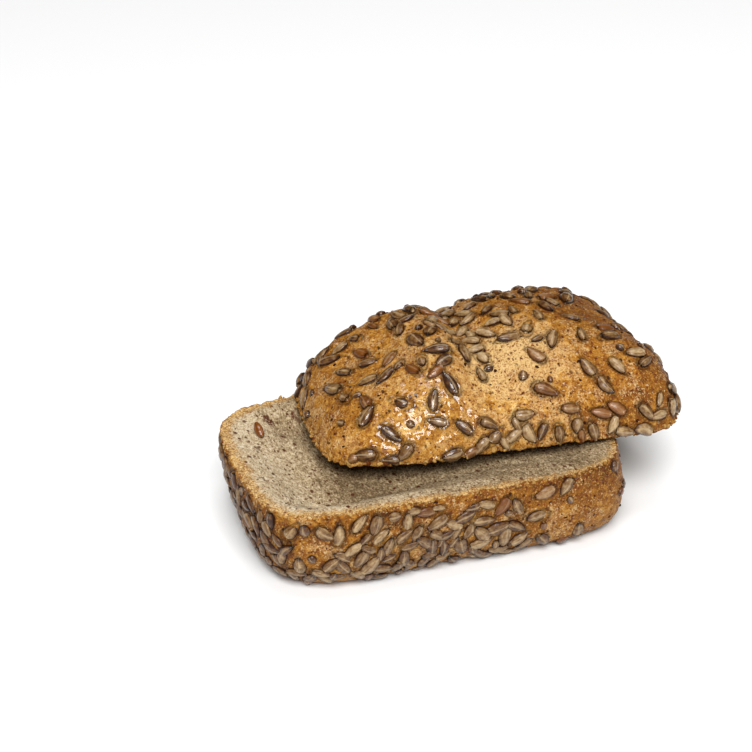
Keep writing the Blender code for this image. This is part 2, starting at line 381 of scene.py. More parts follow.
def times(tree, a, b):
    return number(tree, "MULTIPLY", a, b)


def higher(tree, a, b):
    return number(tree, "MAXIMUM", a, b)


# a value that follows a share from one to the other
def blend(tree, share, a, b):
    return put(tree, "ShaderNodeMix", {0: share, 2: a, 3: b}, data_type="FLOAT").outputs[0]


# a finish's relief, where a height of 1 stands up by a distance in metres
def bumps(tree, height, distance):
    values = {"Strength": 1.0, "Distance": distance, "Height": height}
    return put(tree, "ShaderNodeBump", values).outputs[0]


# one colour laid over another in a share, at a set strength
def layOver(tree, share, strength, under, over):
    return blendColour(tree, times(tree, share, strength), under, over)


# coordinates pushed about by a noise, so that round cells get the outlines of torn bran
def wobbled(tree, where, scale, amount):
    values = {"Vector": where, "Scale": scale, "Detail": 1.0}
    push = put(tree, "ShaderNodeTexNoise", values).outputs["Color"]
    push = put(tree, "ShaderNodeVectorMath", {0: push, 1: (0.5, 0.5, 0.5)}, operation="SUBTRACT").outputs[0]
    push = put(tree, "ShaderNodeVectorMath", {0: push, "Scale": amount}, operation="SCALE").outputs[0]
    return put(tree, "ShaderNodeVectorMath", {0: where, 1: push}, operation="ADD").outputs[0]


# flecks: cells of a Voronoi pattern, drawn only in a share of them, each in its own size and strength
def flecks(tree, where, cells, share, size):
    pattern = put(tree, "ShaderNodeTexVoronoi", {"Vector": where, "Scale": cells, "Randomness": 1.0})
    split = put(tree, "ShaderNodeSeparateColor", {0: pattern.outputs["Color"]})
    chosen = number(tree, "LESS_THAN", split.outputs[0], share)
    reach = total(tree, times(tree, split.outputs[1], 0.7 * size), 0.45 * size)
    inside = step(tree, number(tree, "DIVIDE", pattern.outputs["Distance"], reach), 1.0, 0.7)
    strength = total(tree, times(tree, split.outputs[2], 0.45), 0.60)
    return times(tree, times(tree, inside, chosen), strength)


# Marks on the bread: cells per millimetre, the share of them that is drawn, how much more of them where a
# noise is high, their size, the scale and amount of their tearing, and the stretch of their coordinates
markKinds = {
    "specks": {"cells": 0.60, "share": 0.72, "clump": 3.0, "size": 0.38, "torn": (0.9, 1.3)},
    "dust": {"cells": 1.0, "share": 0.80, "clump": 4.0, "size": 0.46, "torn": (0.9, 1.3)},
    "bran": {"cells": 0.36, "share": 0.40, "clump": 0.0, "size": 0.26, "torn": (0.7, 1.0)},
    "straw": {"cells": 0.70, "share": 0.40, "clump": 0.0, "size": 0.28, "torn": (1.1, 0.8)},
    "bits": {"cells": 0.36, "share": 0.66, "clump": 2.4, "size": 0.32, "torn": (0.6, 0.9)},
    "dots": {"cells": 0.70, "share": 0.46, "clump": 2.4, "size": 0.36, "torn": (1.2, 0.4)},
}
markStretch = {
    "bran": ((1.0, 0.60, 0.8), (5, 3, 1)),
    "straw": ((0.7, 1.0, 1.0), (1, 7, 2)),
    "bits": ((1.0, 0.7, 1.0), (2, 9, 4)),
    "dots": ((1.0, 0.7, 1.0), (6, 1, 8)),
}


def marks(tree, name, clumps):
    kind = markKinds[name]
    where = wobbled(tree, millimetres(tree, *markStretch.get(name, ())), *kind["torn"])
    share = total(tree, sway(tree, clumps, kind["clump"]), kind["share"])
    return flecks(tree, where, kind["cells"], share, kind["size"])


crustLook = {
    "pale": tint("DCBA7A"),
    "gold": tint("AE792B"),
    "amber": tint("845115"),
    "brown": tint("5C3312"),
    "burnt": tint("2A1607"),
    "fleck": tint("55230E"),
    "bran": tint("2A1006"),
    "straw": tint("D3C19B"),
    "dry": tint("B28B59"),
    "lit": tint("CF9C4B"),
    "ember": tint("73380C"),
    "roughness": 0.52,
    "specular": 0.13,
    "bumpHeight": 0.0013,
    "rippleHeight": 0.0017,
    "lightGrains": 0.66,
    "darkGrains": 0.66,
    "strawShare": 0.50,
    "dustShare": 0.75,
    "specksShare": 0.92,
    "branShare": 0.90,
    # strength of the ring of painted shade round each seed
    "seedRingShade": 0.75,
}

# noises of the crust: repeats per millimetre, detail, roughness, and how much each changes the baking
crustNoise = {
    "wide": (0.085, 3.0, 0.5, 0.6),
    "blotch": (0.36, 4.0, 0.62, 1.15),
    "grain": (1.25, 2.0, 0.6, 0.8),
    "fine": (2.6, 2.0, 0.6, 0.5),
}

crumbLook = {
    "pale": tint("CABDA5"),
    "light": tint("AF9C7E"),
    "mid": tint("8A7659"),
    "pore": tint("5C4932"),
    "fleck": tint("441F0A"),
    "band": tint("BB9559"),
    "bandDark": tint("845A2B"),
    "stainAndShade": tint("482817"),
    "roughness": 0.92,
    "bumpHeight": 0.0004,
    "openness": 0.43,
    "bandShare": 0.90,
}


# crust: how far it is baked, with painted light and shade in that number, broken up by blotches and grain,
# then dry patches, light and dark grains, flecks of straw, dust and bran, and a ring of painted shade round
# each seed
def crustColour(tree, noises, grit, marked):
    look = crustLook
    # the bake number holds the baking and also painted light and shade
    bakeAndPaintedLight, gloss = numberOf(tree, "bakeAndPaintedLight"), numberOf(tree, "gloss")
    tone = total(tree, bakeAndPaintedLight, *(sway(tree, noises[key], crustNoise[key][3]) for key in crustNoise))
    crust = stops(tree, tone, look, pale=0.06, gold=0.34, amber=0.56, brown=0.80, burnt=1.0)
    patch = total(tree, noise(tree, millimetres(tree), 0.14, 3.0, 0.6), sway(tree, noises["grain"], 0.5))
    dry = step(tree, total(tree, patch, sway(tree, bakeAndPaintedLight, -0.5)), 0.50, 0.62)
    dry = times(tree, dry, number(tree, "SUBTRACT", 0.74, gloss, True))
    crust = blendColour(tree, dry, crust, look["dry"])
    light = blendColour(tree, dry, look["lit"], look["straw"])
    crust = layOver(tree, step(tree, grit, 0.53, 0.68), look["lightGrains"], crust, light)
    crust = layOver(tree, step(tree, grit, 0.48, 0.34), look["darkGrains"], crust, look["ember"])
    for kind, colour in (("straw", "straw"), ("dust", "ember"), ("specks", "fleck"), ("bran", "bran")):
        crust = layOver(tree, marked[kind], look[kind + "Share"], crust, look[colour])
    # a dark ring round each seed: painted contact shade
    return layOver(tree, numberOf(tree, "seedRingShade"), look["seedRingShade"], crust, look["burnt"])


# Crumb: pale walls round darker pores, painted light and shade, bran flecks, stains with painted shade in the
# tears, and a tan band by the crust. Returns its colour, and how open it is for the bump.
def crumbColour(tree, noises, grit, marked):
    look = crumbLook
    across = millimetres(tree, (1.0, 0.62, 1.0), (3, 8, 5))
    pores = noise(tree, across, 0.42, 2.0, 0.6)
    web = noise(tree, across, 0.75, 2.0, 0.65)
    tiny = noise(tree, across, 1.5, 1.0)
    # the crumb's painted light and shade, paler or darker by place
    crumbPaintedShade = numberOf(tree, "crumbPaintedShade")
    openness = total(tree, crumbPaintedShade, sway(tree, pores, 0.45), sway(tree, web, 0.65), look["openness"])
    openness = total(tree, openness, sway(tree, noises["wide"], 0.4), sway(tree, tiny, 0.75))
    crumb = stops(tree, openness, look, pore=0.06, mid=0.34, light=0.58, pale=0.92)
    both = higher(tree, marks(tree, "bits", pores), marks(tree, "dots", pores))
    crumb = blendColour(tree, both, crumb, look["fleck"])

    ragged = total(tree, numberOf(tree, "fromEdge"), times(tree, crumbPaintedShade, -6.0))
    ragged = total(tree, ragged, sway(tree, noises["blotch"], 9.0), sway(tree, noises["grain"], 5.0))
    shade = step(tree, total(tree, grit, sway(tree, noises["blotch"], 0.8)), 0.52, 0.36)
    band = blendColour(tree, shade, look["band"], look["bandDark"])
    band = layOver(tree, step(tree, grit, 0.56, 0.72), 0.60, band, crustLook["straw"])
    dark = higher(tree, higher(tree, marked["specks"], marked["bran"]), marked["dust"])
    band = layOver(tree, dark, 0.80, band, crustLook["fleck"])
    crumb = layOver(tree, step(tree, ragged, 5.2, 1.4), look["bandShare"], crumb, band)

    # real stains, and painted shade in the tears, in the stain colour
    stainedAndShaded = step(tree, total(tree, grit, sway(tree, web, 0.6)), 0.80, 0.52)
    stainedAndShaded = times(tree, numberOf(tree, "stainAndShade"), stainedAndShaded)
    return blendColour(tree, stainedAndShaded, crumb, look["stainAndShade"]), openness


# bread: crust and crumb in one finish, split by a ragged line at the cut
def breadFinish(name):
    material, tree, shader = newMaterial(name)
    where = millimetres(tree)
    noises = {key: noise(tree, where, *crustNoise[key][:3]) for key in crustNoise}
    grain, fine, blotch = noises["grain"], noises["fine"], noises["blotch"]
    grit = total(tree, grain, sway(tree, fine, 0.7))
    marked = {key: marks(tree, key, blotch) for key in ("specks", "dust", "bran", "straw")}
    crust = crustColour(tree, noises, grit, marked)
    crumb, openness = crumbColour(tree, noises, grit, marked)
    ragged = total(tree, numberOf(tree, "fromEdge"), sway(tree, grain, 2.2), sway(tree, blotch, 1.6))
    isCrumb = step(tree, ragged, -0.3, 0.5)

    # leathery crust and open crumb, under a clear coat where the glaze was brushed on and pooled
    rough = total(tree, crustLook["roughness"], sway(tree, grain, 0.25))
    pooled = total(tree, numberOf(tree, "gloss"), sway(tree, blotch, 1.6), sway(tree, noises["wide"], 0.8))
    dark = higher(tree, marked["specks"], marked["bran"])
    skin = total(tree, times(tree, grain, 0.55), times(tree, fine, 0.30), times(tree, dark, -0.06))
    holes = times(tree, openness, crumbLook["bumpHeight"] / crustLook["bumpHeight"])
    inputs = {
        "Base Color": blendColour(tree, isCrumb, crust, crumb),
        "Roughness": blend(tree, isCrumb, rough, crumbLook["roughness"]),
        "Normal": bumps(tree, blend(tree, isCrumb, skin, holes), crustLook["bumpHeight"]),
        "Specular IOR Level": crustLook["specular"],
        "Coat Weight": times(tree, step(tree, pooled, 0.42, 0.58), number(tree, "SUBTRACT", 1.0, isCrumb)),
        "Coat Roughness": 0.06,
        "Coat Normal": bumps(tree, noise(tree, where, 0.24, 1.0), crustLook["rippleHeight"]),
    }
    fill(tree, shader, inputs)
    return material


seedLook = {
    "pale": tint("AD926A"),
    "grey": tint("8C704B"),
    "brown": tint("6F502B"),
    "roasted": tint("543213"),
    "burnt": tint("2B1307"),
    "amber": tint("713B06"),
    "groove": tint("341D0B"),
    "ridge": tint("B5A07D"),
    "bumpHeight": 0.00030,
    "specular": 0.36,
    "roughness": (0.52, 0.30),  # dry and glazed
    "tip": 0.40,
    # how much the rim is darkened as painted shade
    "rim": 0.70,
    "grooves": 0.32,
    "ridges": 0.36,
}


# kernel: its own tone, streaks that run along it, a darker tip, a rim darkened as painted shade, and two or
# three soft ridges
def seedFinish(name):
    material, tree, shader = newMaterial(name)
    look = seedLook
    labels = ("roast", "amber", "glaze", "along", "side")
    roast, amber, glaze, along, side = (numberOf(tree, label) for label in labels)
    own = {0: times(tree, along, 1.4), 1: times(tree, side, 2.2), 2: times(tree, roast, 37.0)}
    lengthwise = put(tree, "ShaderNodeCombineXYZ", own).outputs[0]
    streaks = noise(tree, lengthwise, 1.5, 3.0, 0.62, 0.5)
    patch = noise(tree, millimetres(tree), 0.55, 2.0, 0.6)
    tip = times(tree, step(tree, along, 0.74, 1.0), look["tip"])
    # the rim along each side is darkened: painted shade where the kernel meets the crust
    rim = times(tree, step(tree, number(tree, "ABSOLUTE", side), 0.76, 1.0), look["rim"])
    tone = total(tree, roast, sway(tree, streaks, 1.0), sway(tree, patch, 1.2), tip, rim)
    colour = stops(tree, tone, look, pale=0.05, grey=0.34, brown=0.58, roasted=0.80, burnt=1.0)
    colour = blendColour(tree, amber, colour, look["amber"])

    bent = sway(tree, noise(tree, lengthwise, 0.3, 1.0), 1.1)
    bent = total(tree, side, sway(tree, streaks, 0.6), bent)
    waves = number(tree, "COSINE", times(tree, bent, 4.6))
    colour = layOver(tree, step(tree, waves, -0.35, -0.95), look["grooves"], colour, look["groove"])
    clear = number(tree, "SUBTRACT", look["ridges"], times(tree, amber, 0.30))
    colour = layOver(tree, step(tree, waves, 0.55, 1.0), clear, colour, look["ridge"])
    height = total(tree, times(tree, waves, 0.34), times(tree, streaks, 0.7), times(tree, patch, 0.5))
    inputs = {
        "Base Color": colour,
        "Roughness": total(tree, between(tree, glaze, *look["roughness"]), sway(tree, patch, 0.2)),
        "Normal": bumps(tree, height, look["bumpHeight"]),
        "Specular IOR Level": look["specular"],
        "Coat Weight": number(tree, "MULTIPLY", glaze, 1.1, True),
        "Coat Roughness": 0.07,
    }
    fill(tree, shader, inputs)
    return material


bitLook = {
    "dark": tint("2C1107"),
    "brown": tint("56270C"),
    "tan": tint("8D6026"),
    "pale": tint("AB884E"),
    "bumpHeight": 0.0003,
    "specular": 0.15,
}


# bran flakes and crumbs: one of four tones for each, slightly mottled
def bitFinish(name):
    material, tree, shader = newMaterial(name)
    patch = noise(tree, millimetres(tree), 1.8, 3.0, 0.6)
    tone = total(tree, numberOf(tree, "roast"), sway(tree, patch, 0.6))
    inputs = {
        "Base Color": stops(tree, tone, bitLook, pale=0.10, tan=0.36, brown=0.62, dark=0.9),
        "Roughness": between(tree, patch, 0.55, 0.85),
        "Normal": bumps(tree, patch, bitLook["bumpHeight"]),
        "Specular IOR Level": bitLook["specular"],
    }
    fill(tree, shader, inputs)
    return material


breadMaterial = breadFinish("baked_bread")
seedMaterial = seedFinish("sunflower_kernel")
bitMaterial = bitFinish("bran_and_crumbs")
print("finishes ready")

# seeds and bran flakes on both crusts: how many, the start of their random draw, and their usual length in
# metres, then how much it varies, how many lengths they keep apart and how many places are tried
seedKinds = {
    "bottomLarge": {"count": 150, "draw": 11, "size": 0.0088},
    "topLarge": {"count": 150, "draw": 23, "size": 0.0088},
    "bottomSmall": {"count": 100, "draw": 111, "size": 0.0078, "spread": 0.14, "apart": 0.46, "tries": 30000},
    "topSmall": {"count": 45, "draw": 123, "size": 0.0078, "spread": 0.14, "apart": 0.50, "tries": 16000},
    "bottomRound": {"count": 16, "draw": 131, "size": 0.0040, "spread": 0.12, "apart": 2.0},
    "topRound": {"count": 30, "draw": 133, "size": 0.0040, "spread": 0.12, "apart": 2.0},
    "bottomBran": {"count": 260, "draw": 101, "size": 0.0013, "spread": 0.35, "apart": 1.2},
    "topBran": {"count": 330, "draw": 102, "size": 0.0013, "spread": 0.35, "apart": 1.2},
}


# crowding on the bottom half: most low on the front, the back and the left end, hardly any at the right
def bottomCrowding(point):
    x, y, z = point.T
    front = 2.8 * hill(x, -0.0135, 0.029, 4) * (y < 0)
    corner = 0.6 * (x < -0.036) * (y < 0)
    right = 0.35 * (x > 0.010) * (x < 0.062) * (y < 0)
    left = 2.2 * (x < -0.066) * (np.abs(y) < 0.040)
    back = 1.0 * hill(x, -0.008, 0.050, 4) * (y > 0)
    low = np.clip(1.35 - 0.95 * z / bottomForm["height"], 0.30, 1)
    return (0.05 + front + corner + right + left + back) * low


# crowding on the top half: most on the saddle, the crown and the front rim, fewest on the slope between
def topCrowding(point):
    x, y, z = point.T
    rim = 3.0 * (y < 0) * (x > -0.02) * hill(z, 0.006, 0.005)
    saddle = 2.4 * mound(x, y, (-0.006, 0.002), (0.013, 0.020))
    crown = 0.7 * mound(x, y, (0.026, 0.016), (0.026, 0.018))
    slope = 1 - 0.85 * hill(x, 0.012, 0.032, 4) * hill(y, -0.028, 0.013) * (z > 0.012)
    return (0.55 + saddle + crown) * slope + rim


# where the smaller seeds crowd in: low on the front, the left end and the back
def lowCrowding(point):
    x, y, z = point.T
    front = 3.0 * hill(x, -0.0135, 0.029, 4) * (y < 0)
    left = 3.0 * (x < -0.062) * (np.abs(y) < 0.042)
    back = 1.8 * hill(x, -0.008, 0.052, 4) * (y > 0)
    return (0.02 + front + left + back) * np.clip(1.30 - z / bottomForm["height"], 0.08, 1) ** 1.5


# where the smaller seeds crowd in on the top half: the saddle, the crown and the front rim
def highCrowding(point):
    x, y, z = point.T
    saddle = 4.0 * mound(x, y, (-0.010, 0.012), (0.011, 0.020))
    middle = 2.5 * mound(x, y, (-0.002, -0.010), (0.010, 0.010))
    crown = 0.8 * mound(x, y, (0.024, 0.020), (0.024, 0.018))
    rim = 2.5 * (y < 0) * (x > -0.03) * hill(z, 0.006, 0.005)
    return 0.06 + saddle + middle + crown + rim + 0.5 * (y > 0.02)


# the same crowding everywhere
def evenly(point):
    return np.ones(len(point))


# each direction divided by its own length
def unit(vectors):
    return vectors / np.linalg.norm(vectors, axis=1)[:, None]


# Points drawn evenly over a crust's area, thinned by the crowding and kept apart, between a lowest and a
# highest limit. Each has a length, and three directions: along the seed, across it, and out of the crust.
def seedSpots(surface, crowding, limits, count, draw, size, spread=0.1, apart=0.57, tries=9000, taken=None):
    rng = np.random.default_rng(draw)
    turn = rng.uniform(0, 2 * math.pi, tries)
    level = rng.uniform(0.0, 0.985, tries)  # all but the very middle of the dome
    chance = rng.uniform(0, 1, tries)
    length = np.clip(rng.normal(size, spread * size, tries), 0.7 * size, 1.25 * size)
    spin = rng.uniform(0, math.pi * 2, tries)
    tip = rng.normal(0, 0.10, tries)  # how far one end stands out of the crust
    small = 1e-4
    point = surface(turn, level)
    along = (surface(turn + small, level) - point) / small
    up = (surface(turn, level + small) - point) / small
    normal = np.cross(along, up)
    area = np.linalg.norm(normal, axis=1)
    normal /= np.maximum(area, 1e-12)[:, None]
    weight = area * crowding(point)
    wanted = chance < weight / np.quantile(weight, 0.995)
    side = unit(along)
    lift = np.cross(normal, side)
    axis = unit(side * np.cos(spin)[:, None] + lift * np.sin(spin)[:, None] + normal * tip[:, None])
    across = unit(np.cross(normal, axis))
    face = np.cross(axis, across)
    reach = length * np.sqrt((0.5 * axis[:, 2]) ** 2 + (0.3 * across[:, 2]) ** 2 + (0.25 * face[:, 2]) ** 2)
    inside = (point[:, 2] + reach < limits[1]) & (point[:, 2] - reach > limits[0])
    for other, otherLength in zip(taken["point"], taken["length"]) if taken else []:
        inside &= np.linalg.norm(point - other, axis=1) > 0.27 * (length + otherLength)
    kept = []
    for i in np.nonzero(wanted & inside)[0]:
        near = np.linalg.norm(point[kept] - point[i], axis=1) if kept else np.array([1.0])
        if near.min() > apart * length[i]:
            kept.append(i)
        if len(kept) == count:
            break
    kept = sorted(kept, key=lambda i: -length[i])
    found = {"point": point, "axis": axis, "across": across, "face": face, "length": length}
    return {key: values[kept] for key, values in found.items()}


# several sets of spots as one
def together(*sets):
    return {key: np.concatenate([one[key] for one in sets]) for key in sets[0]}


wallLimits = (0.0003, bottomForm["height"] - 0.0006)
lowLimits = (0.0003, bottomForm["height"] - 0.0010)
domeLimits = (0.0008, 1.0)
bottomLarge = seedSpots(bottomWall, bottomCrowding, wallLimits, **seedKinds["bottomLarge"])
topLarge = seedSpots(topDome, topCrowding, domeLimits, **seedKinds["topLarge"])
bottomSmall = seedSpots(bottomWall, lowCrowding, lowLimits, **seedKinds["bottomSmall"], taken=bottomLarge)
topSmall = seedSpots(topDome, highCrowding, domeLimits, **seedKinds["topSmall"], taken=topLarge)
bottomAll = together(bottomLarge, bottomSmall)
topAll = together(topLarge, topSmall)
bottomRound = seedSpots(bottomWall, evenly, lowLimits, **seedKinds["bottomRound"], taken=bottomAll)
topRound = seedSpots(topDome, evenly, domeLimits, **seedKinds["topRound"], taken=topAll)
placed = (bottomLarge, bottomSmall, bottomRound, topLarge, topSmall, topRound)
print("seeds placed:", [len(spots["length"]) for spots in placed])

# heights and depths of the crust's relief, in metres
crustRelief = {
    "lumps": 0.00045,
    "blisters": 0.00028,
    "grain": 0.00012,
    "rim": 0.0010,
    "lip": 0.00030,
    "dent": 0.00040,
}

# the crumb's relief in metres; each tear has its middle, length and turn, and each stain its middle, half
# length and half width
crumbRelief = {
    "waves": 0.00035,
    "pores": 0.00042,
    "grain": 0.00010,
    "tearDepth": 0.0014,
    "tears": [
        (-0.0630, -0.0262, 0.0100, -1.22),
        (-0.0524, -0.0308, 0.0065, -0.40),
        (-0.0426, -0.0289, 0.0085, -0.05),
        (0.030, -0.036, 0.008, 0.1),
    ],
    "stains": [
        (-0.0523, 0.0345, 0.0015, 0.0036),
        (-0.0405, 0.0350, 0.0018, 0.0024),
        (-0.0489, 0.0245, 0.0013, 0.0010),
        (-0.0619, 0.0148, 0.0016, 0.0010),
        (-0.0686, -0.0109, 0.0014, 0.0008),
    ],
}

# the hollow in the cut face of the bottom half, in metres and shares of its depth
cutDish = {
    "depth": 0.0082,
    "shallowEnd": 0.45,
    "deepens": (0.045, -0.020),
    "starts": 0.005,
    "full": 0.025,
    "seedRise": 0.75,
    "seedSpot": (-0.059, 0.024),
    "seedReach": (0.014, 0.016),
}


# Beside each seed the crust stands up in a lip, and under it the crust is dented. Returns the relief
# and how close each point is to a seed's outline, where a ring of painted shade is drawn.
def seedRelief(points, spots):
    relief = np.zeros(len(points))
    edge = np.zeros(len(points))
    for point, axis, across, length in zip(*(spots[key] for key in ("point", "axis", "across", "length"))):
        off = points - point
        near = np.nonzero(np.einsum("ij,ij->i", off, off) < (0.95 * length) ** 2)[0]
        off = off[near]
        u = off @ axis / (0.52 * length)
        v = off @ across / (0.26 * length * (1 - 0.35 * u))
        r = np.sqrt(u * u + v * v)
        lip = crustRelief["lip"] * hill(r, 1.25, 0.26) - crustRelief["dent"] * ramp(r, 1.0, 0.7)
        relief[near] = np.where(np.abs(lip) > np.abs(relief[near]), lip, relief[near])
        edge[near] = np.maximum(edge[near], hill(r, 1.08, 0.16))
    return relief, edge


# dark spots on the crumb: flat ellipses with a ragged outline
def crumbStain(points):
    out = np.zeros(len(points))
    push = 0.0016 * np.stack([layered(points, 0.0020, 2, 91), layered(points, 0.0020, 2, 94)], axis=-1)
    for x, y, halfLength, halfWidth in crumbRelief["stains"]:
        off = points[:, :2] + push - np.array([x, y])
        out = np.maximum(out, ramp(np.hypot(off[:, 0] / halfLength, off[:, 1] / halfWidth), 1.25, 0.7))
    return out


# short tears in the crumb: a narrow wobbling line with rounded ends
def crumbTears(points):
    out = np.zeros(len(points))
    for x, y, length, turn in crumbRelief["tears"]:
        u = (points[:, 0] - x) * math.cos(turn) + (points[:, 1] - y) * math.sin(turn)
        v = -(points[:, 0] - x) * math.sin(turn) + (points[:, 1] - y) * math.cos(turn)
        v = v + 0.0009 * softNoise(points, 0.003, 68)
        out = np.maximum(out, hill(u, 0, length / 2, 4) * hill(v, 0, 0.0006))
    return out


# crumb surface: slow waves, sharp-edged pores, grain and tears
def crumbHeight(points):
    flat = points * np.array([1, 1, 0.3])
    waves = crumbRelief["waves"] * softNoise(flat, 0.011, 61)
    web = np.abs(layered(flat, 0.0021, 3, 62, 0.6))
    pores = -crumbRelief["pores"] * (1 - ramp(web, 0.0, 0.55)) * ramp(softNoise(flat, 0.004, 66), -0.6, 0.6)
    grain = crumbRelief["grain"] * softNoise(flat, 0.0009, 67)
    return waves + pores + grain - crumbRelief["tearDepth"] * crumbTears(points)


# crust surface: lumps, blisters and grain
def crustHeight(points, glaze=0):
    lumps = crustRelief["lumps"] * softNoise(points, 0.010, 31)
    blisters = crustRelief["blisters"] * layered(points, 0.0032, 2, 33)
    return lumps + (1 - 0.7 * glaze) * (blisters + crustRelief["grain"] * softNoise(points, 0.0011, 37))


# the cut's rough edge: the rim is nibbled in and out within a millimetre or two of the cut
def nibble(points, fromEdge, within, draw):
    shift = np.stack([layered(points, 0.0024, 2, draw + 3 * k) for k in range(3)], axis=-1)
    return shift * hill(fromEdge, 0, within)[:, None] * crustRelief["rim"] * np.array([0.7, 0.7, 0.8])


# The cut face of the bottom half is dished: level for a few millimetres inside its edge, then a smooth
# bowl that is deepest to the left of the middle and shallow under the seed in the crumb.
def dishDepth(points, fromEdge):
    dish = cutDish
    along = dish["shallowEnd"] + (1 - dish["shallowEnd"]) * ramp(points[:, 0], *dish["deepens"])
    corner = 1 - dish["seedRise"] * mound(points[:, 0], points[:, 1], dish["seedSpot"], dish["seedReach"])
    return dish["depth"] * along * corner * ramp(fromEdge, dish["starts"], dish["full"])


# the points of a half's surface on each row below its lid's edge
def rowsBelow(surface, edge, ring, level):
    x, y, ring, level = np.broadcast_arrays(edge[None, :, 0], edge[None, :, 1], ring, level)
    return surface(x, y, ring, level).reshape(-1, 3)


# squares of the lid, rows of the wall and rings of the base, how far the crust is baked from 0 to 1 and
# what some places add to that, with painted shade at the left end, and how much glaze it has
bottomGrid = {"across": 236, "deep": 150, "rows": 50, "floorRings": 7}
bottomBakeAndShade = {
    "all": 0.46,
    "nearCut": 0.20,
    "leftEndShade": 0.20,
    "rightEnd": 0.10,
    "right": 0.04,
    "base": 0.06,
    "leftRim": -0.26,
    "gloss": 0.12,
}


# the sum of what is added, each faded in along the length or the height between two places; the left end's
# share is painted shade
def bottomTone(x, z):
    add = bottomBakeAndShade
    # the left end's share darkens it as painted shade
    bakeAndPaintedLight = add["all"] + add["nearCut"] * ramp(z, 0.022, 0.034) + add["leftEndShade"] * ramp(x, -0.045, -0.072)
    bakeAndPaintedLight = bakeAndPaintedLight + add["rightEnd"] * ramp(x, 0.035, 0.07) * ramp(z, 0.016, 0.030)
    bakeAndPaintedLight = bakeAndPaintedLight + add["right"] * ramp(x, 0.010, 0.030) + add["base"] * ramp(z, 0.0012, 0.0)
    return bakeAndPaintedLight + add["leftRim"] * ramp(z, 0.029, 0.036) * ramp(x, -0.040, -0.060)


# painted light and shade on the crumb: paler at the left end and at the front edge, darker towards the right
# and next to the top half where its shade falls, by the share that is added to its openness
def paintedCrumbShade(x, y):
    shade = 0.24 * ramp(x, -0.034, -0.062) - 0.08 - 0.06 * ramp(x, -0.01, 0.02)
    return shade + (0.12 - 0.28 * ramp(y, -0.038, -0.025)) * hill(x, -0.030, 0.022)


# Bottom half: its surface over the lid's grid, down the wall and in over the base. Every point then moves
# along its normal by the relief of crust or crumb, and down by the dish.
def makeBottom():
    grid, faces = canGrid(**bottomGrid)
    lid, edge = grid["lid"], grid["edge"]
    rows, rings = bottomGrid["rows"], bottomGrid["floorRings"]
    lidRing = np.abs(lid).max(axis=1)
    lidPoints = bottomPoint(lid[:, 0], lid[:, 1], lidRing, np.ones(len(lid)))
    level = 1 - (np.arange(1, rows + 1) / rows)[:, None] ** 1.15  # rows are closer together near the cut
    ring = 1 - (np.arange(1, rings + 1) / (rings + 1))[:, None]
    wallPoints = rowsBelow(bottomPoint, edge, 1.0, level)
    basePoints = rowsBelow(bottomPoint, edge, ring, 0.0)
    points = np.vstack([lidPoints, wallPoints, basePoints, [[bottomForm["baseShift"], 0, 0]]])
    normals = vertexNormals(points, faces)
    x, y, z = points.T

    # distance from the cut's edge in metres: inwards over the crumb, and below nought down the crust
    f = bottomForm
    inwards = toOutline(lid[:, 0], lid[:, 1], lidRing, f["length"], f["width"], f["squareness"])
    fromEdge = np.concatenate([inwards, z[len(lid) :] - f["height"]])
    isCrust = ramp(fromEdge, 0.0002, -0.0012)  # full 1.2 mm down the crust
    isCrumb = ramp(fromEdge, 0.0, 0.0020)  # full 2 mm inside the cut
    relief, seedRingShade = seedRelief(points, bottomAll)
    aboveBase = 1 - ramp(z, 0.0012, 0.0)
    height = (crustHeight(points) + relief) * isCrust * aboveBase + crumbHeight(points) * isCrumb
    shaped = points + normals * height[:, None]
    shaped += nibble(points, fromEdge, 0.0016, 71)
    shaped[:, 2] -= dishDepth(points, fromEdge)
    base = z < 1e-6
    shaped[base, 2] = 0.00012 * softNoise(points[base], 0.003, 75) ** 2
    shaped[:, 2] = np.clip(shaped[:, 2], 0, f["height"] + 0.0002 + 0.0006 * (x < -0.045))

    numbers = {
        "bakeAndPaintedLight": bottomTone(x, z),
        "gloss": np.full(len(x), bottomBakeAndShade["gloss"]),
        "fromEdge": fromEdge * 1000,
        "seedRingShade": seedRingShade * isCrust,
        # stains, and painted shade in the tears
        "stainAndShade": np.maximum(crumbStain(points), 0.8 * crumbTears(points)) * isCrumb,
        # painted light and shade on the crumb
        "crumbPaintedShade": paintedCrumbShade(x, y),
    }
    piece = meshPiece("bottom_bread", shaped, faces, breadMaterial, numbers)
    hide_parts("bottom_half")


makeBottom()
print("bottom half made")

# the same for the top half, with painted light on its front slope and painted shade at its left end; its
# glaze has pooled on the front left
topGrid = {"across": 214, "deep": 136, "rows": 42, "floorRings": 0}
topBakeAndLight = {
    "all": 0.44,
    "leftEndShade": 0.14,
    "rim": -0.04,
    "right": 0.18,
    "slope": -0.48,
    "crown": 0.14,
    "frontLeft": -0.10,
    "gloss": 0.16,
    "pooledGloss": 0.58,
}


# the same sum for the dome, where round hills mark the places; the paler front slope is partly paler crust
# and partly painted light and sheen, and the darker left end is painted shade
def topTone(x, y, z):
    add = topBakeAndLight
    # the left end's share darkens it as painted shade
    bakeAndPaintedLight = add["all"] + add["leftEndShade"] * ramp(x, -0.040, -0.066) * ramp(z, 0.006, 0.018)
    bakeAndPaintedLight = bakeAndPaintedLight + add["rim"] * ramp(z, 0.006, 0.0) + add["right"] * ramp(x, 0.010, 0.055)
    # a paler front slope: partly paler crust, partly painted light and sheen
    bakeAndPaintedLight = bakeAndPaintedLight + add["slope"] * mound(x, y, (0.006, -0.020), (0.022, 0.014))
    bakeAndPaintedLight = bakeAndPaintedLight + add["crown"] * mound(x, y, (0.030, 0.014), (0.030, 0.020))
    return bakeAndPaintedLight + add["frontLeft"] * mound(x, y, (-0.034, -0.030), (0.022, 0.018))


